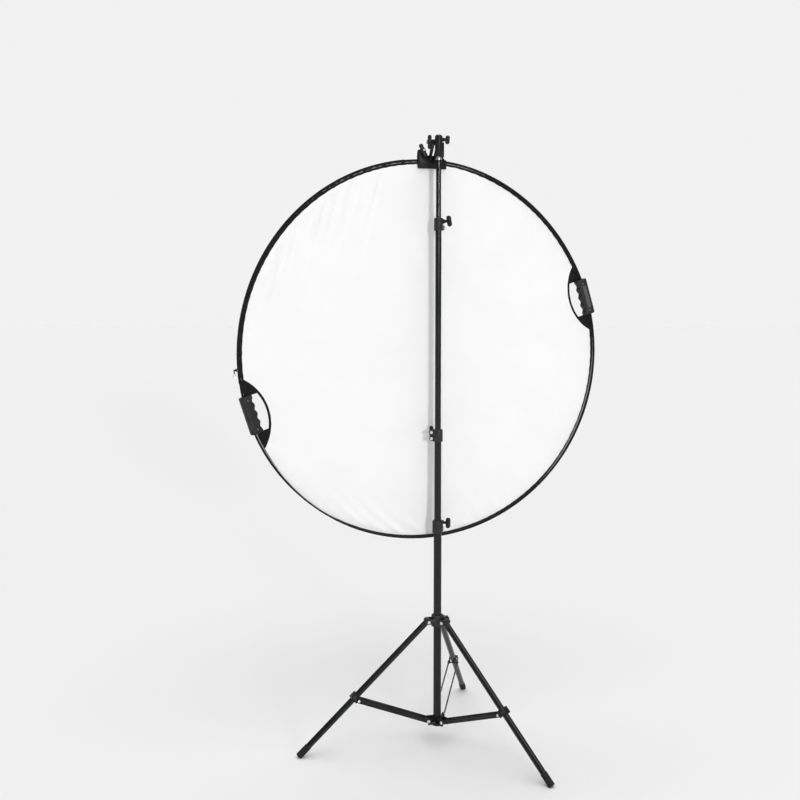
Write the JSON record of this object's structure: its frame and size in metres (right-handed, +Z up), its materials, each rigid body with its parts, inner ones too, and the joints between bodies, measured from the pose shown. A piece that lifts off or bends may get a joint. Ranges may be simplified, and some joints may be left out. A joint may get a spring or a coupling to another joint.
{
  "type": "collapsible reflector disc",
  "caption": "Round white cloth reflector with two moulded grips, clamped at its rim in a tilting holder on a telescopic light stand with folding braced legs.",
  "frame": {"origin": "on the floor, under the axis of the column", "axes": "+Z up along the column, +X to the right and +Y away from someone who faces the white side of the disc, which is turned 20.9 degrees about the column"},
  "size_m": [1.1285, 0.7554, 1.9059],
  "materials": {
    "tube_black": "gloss black lacquer",
    "strip_black": "satin black lacquer",
    "moulded_dark": "fine-grained dark moulding",
    "knob_black": "fine-grained black moulding",
    "head_black": "satin black on die-cast metal",
    "bright_steel": "bright zinc",
    "spring_steel": "blued strip",
    "rubber_black": "matte",
    "cloth_white": "plain tight weave",
    "cloth_diffuser": "thin translucent weave",
    "cloth_silver": "metallised weave",
    "binding_black": "woven tape",
    "grip_dark": "soft-touch grain"
  },
  "bodies": {
    "base": {"base_tube": "tube_black", "hub": "moulded_dark", "hub_bolts": "bright_steel", "collar_1": "moulded_dark", "collar_1_bolts": "bright_steel"},
    "collar_1_knob": {"collar_1_knob": "knob_black"},
    "leg_collar": {"leg_collar": "moulded_dark", "leg_pins": "bright_steel"},
    "leg_lock_knob": {"leg_lock_knob": "knob_black"},
    "leg_1": {"leg_tube_1": "tube_black", "leg_head_1": "moulded_dark", "leg_bracket_1": "strip_black", "leg_foot_1": "rubber_black"},
    "brace_1": {"brace_1": "strip_black"},
    "leg_2": {"leg_tube_2": "tube_black", "leg_head_2": "moulded_dark", "leg_bracket_2": "strip_black", "leg_foot_2": "rubber_black"},
    "brace_2": {"brace_2": "strip_black"},
    "leg_3": {"leg_tube_3": "tube_black", "leg_head_3": "moulded_dark", "leg_bracket_3": "strip_black", "leg_foot_3": "rubber_black"},
    "brace_3": {"brace_3": "strip_black"},
    "mast_2": {"mast_2_tube": "tube_black", "collar_2": "moulded_dark", "collar_2_bolts": "bright_steel"},
    "collar_2_knob": {"collar_2_knob": "knob_black"},
    "mast_3": {"mast_3_tube": "tube_black", "collar_3": "moulded_dark", "collar_3_bolts": "bright_steel"},
    "collar_3_knob": {"collar_3_knob": "knob_black"},
    "mast_4": {"mast_4_tube": "tube_black", "spigot": "bright_steel"},
    "socket": {"socket": "head_black"},
    "socket_knob": {"socket_knob": "knob_black"},
    "tilt_arm": {"tilt_arm": "head_black", "tilt_bolt": "bright_steel", "jaw_pin": "bright_steel", "jaw_pad_front": "rubber_black"},
    "tilt_knob": {"tilt_knob": "knob_black"},
    "jaw_back": {"jaw_back": "head_black", "jaw_pad_back": "rubber_black"},
    "jaw_screw": {"jaw_screw": "bright_steel"},
    "jaw_knob": {"jaw_knob": "knob_black"},
    "reflector": {"hoop": "spring_steel", "diffuser": "cloth_diffuser", "front_sheet": "cloth_white", "back_sheet": "cloth_silver", "rim_binding": "binding_black", "hand_bands": "binding_black", "gussets": "binding_black", "grip_right_front": "grip_dark", "grip_right_back": "grip_dark", "grip_left_front": "grip_dark", "grip_left_back": "grip_dark", "grip_screws": "bright_steel", "zip_tape": "binding_black"},
    "zip_slider": {"zip_slider": "strip_black"},
    "zip_pull": {"zip_pull": "bright_steel"}
  },
  "joints": [
    {"name": "leg_fold", "type": "slide", "parent": "base", "child": "leg_collar", "axis": [0, 0, 1], "range_m": [0, 0.24574]},
    {"name": "leg_1_spread", "type": "hinge", "parent": "leg_collar", "child": "leg_1", "pos_m": [-0.0314, -0.01014, 0.396], "axis": [0.3074, -0.9516, 0], "range_deg": [0, 43.67]},
    {"name": "brace_1_swing", "type": "hinge", "parent": "base", "child": "brace_1", "pos_m": [-0.03235, -0.01045, 0.074], "axis": [-0.3074, 0.9516, 0], "range_deg": [0, 67.33]},
    {"name": "leg_2_spread", "type": "hinge", "parent": "leg_collar", "child": "leg_2", "pos_m": [0.02448, -0.02212, 0.396], "axis": [0.6704, 0.742, 0], "range_deg": [0, 43.67]},
    {"name": "brace_2_swing", "type": "hinge", "parent": "base", "child": "brace_2", "pos_m": [0.02523, -0.02279, 0.074], "axis": [-0.6704, -0.742, 0], "range_deg": [0, 67.33]},
    {"name": "leg_3_spread", "type": "hinge", "parent": "leg_collar", "child": "leg_3", "pos_m": [0.00692, 0.03227, 0.396], "axis": [-0.9778, 0.2096, 0], "range_deg": [0, 43.67]},
    {"name": "brace_3_swing", "type": "hinge", "parent": "base", "child": "brace_3", "pos_m": [0.00713, 0.03324, 0.074], "axis": [0.9778, -0.2096, 0], "range_deg": [0, 67.33]},
    {"name": "mast_2_slide", "type": "slide", "parent": "base", "child": "mast_2", "axis": [0, 0, 1], "range_m": [-0.09, 0.25]},
    {"name": "mast_3_slide", "type": "slide", "parent": "mast_2", "child": "mast_3", "axis": [0, 0, 1], "range_m": [-0.09, 0.02]},
    {"name": "mast_4_slide", "type": "slide", "parent": "mast_3", "child": "mast_4", "axis": [0, 0, 1], "range_m": [-0.05, 0.38]},
    {"name": "head_swivel", "type": "hinge", "parent": "mast_4", "child": "socket", "pos_m": [0, 0, 1.86], "axis": [0, 0, 1], "continuous": true},
    {"name": "head_tilt", "type": "hinge", "parent": "socket", "child": "tilt_arm", "pos_m": [-0.00856, 0.02242, 1.884], "axis": [0.9342, 0.3567, 0], "range_deg": [0, 90]},
    {"name": "jaw_open", "type": "hinge", "parent": "tilt_arm", "child": "jaw_back", "pos_m": [-0.02319, 0.06072, 1.845], "axis": [0.9342, 0.3567, 0], "range_deg": [0, 14]},
    {"name": "jaw_screw_travel", "type": "slide", "parent": "tilt_arm", "child": "jaw_screw", "axis": [0.3567, -0.9342, 0], "range_m": [0, 0.00553]},
    {"name": "reflector_release", "type": "slide", "parent": "tilt_arm", "child": "reflector", "axis": [0, 0, -1], "range_m": [0, 0.045]},
    {"name": "zip_slide", "type": "hinge", "parent": "reflector", "child": "zip_slider", "pos_m": [-0.0372, 0.05537, 1.24], "axis": [0.3567, -0.9342, 0], "range_deg": [-78, 0]},
    {"name": "zip_pull_swing", "type": "hinge", "parent": "zip_slider", "child": "zip_pull", "pos_m": [-0.60195, -0.16028, 1.19773], "axis": [0.3567, -0.9342, 0], "range_deg": [-150, 2]},
    {"name": "leg_lock_turn", "type": "hinge", "parent": "leg_collar", "child": "leg_lock_knob", "pos_m": [0.02855, 0.00922, 0.401], "axis": [0.9516, 0.3074, 0], "continuous": true},
    {"name": "collar_1_turn", "type": "hinge", "parent": "base", "child": "collar_1_knob", "pos_m": [0.02757, 0.00775, 0.708], "axis": [0.866, -0.5, 0], "continuous": true},
    {"name": "collar_2_turn", "type": "hinge", "parent": "mast_2", "child": "collar_2_knob", "pos_m": [-0.0205, 0.02, 0.996], "axis": [0, 1, 0], "continuous": true},
    {"name": "collar_3_turn", "type": "hinge", "parent": "mast_3", "child": "collar_3_knob", "pos_m": [0.02757, 0.00775, 1.645], "axis": [0.866, -0.5, 0], "continuous": true},
    {"name": "socket_knob_turn", "type": "hinge", "parent": "socket", "child": "socket_knob", "pos_m": [0.02336, 0.00892, 1.889], "axis": [0.9342, 0.3567, 0], "continuous": true},
    {"name": "tilt_knob_turn", "type": "hinge", "parent": "tilt_arm", "child": "tilt_knob", "pos_m": [-0.02444, 0.01636, 1.884], "axis": [-0.9342, -0.3567, 0], "continuous": true},
    {"name": "jaw_knob_turn", "type": "hinge", "parent": "jaw_screw", "child": "jaw_knob", "pos_m": [-0.04746, 0.02898, 1.861], "axis": [0.3567, -0.9342, 0], "continuous": true}
  ],
  "couplings": [
    {"joint": "leg_1_spread", "follows": "leg_fold", "rad_per_m": 3.0979},
    {"joint": "brace_1_swing", "follows": "leg_fold", "rad_per_m": 4.7783},
    {"joint": "leg_2_spread", "follows": "leg_fold", "rad_per_m": 3.0979},
    {"joint": "brace_2_swing", "follows": "leg_fold", "rad_per_m": 4.7783},
    {"joint": "leg_3_spread", "follows": "leg_fold", "rad_per_m": 3.0979},
    {"joint": "brace_3_swing", "follows": "leg_fold", "rad_per_m": 4.7783},
    {"joint": "jaw_screw_travel", "follows": "jaw_open", "m_per_rad": 0.0225}
  ]
}
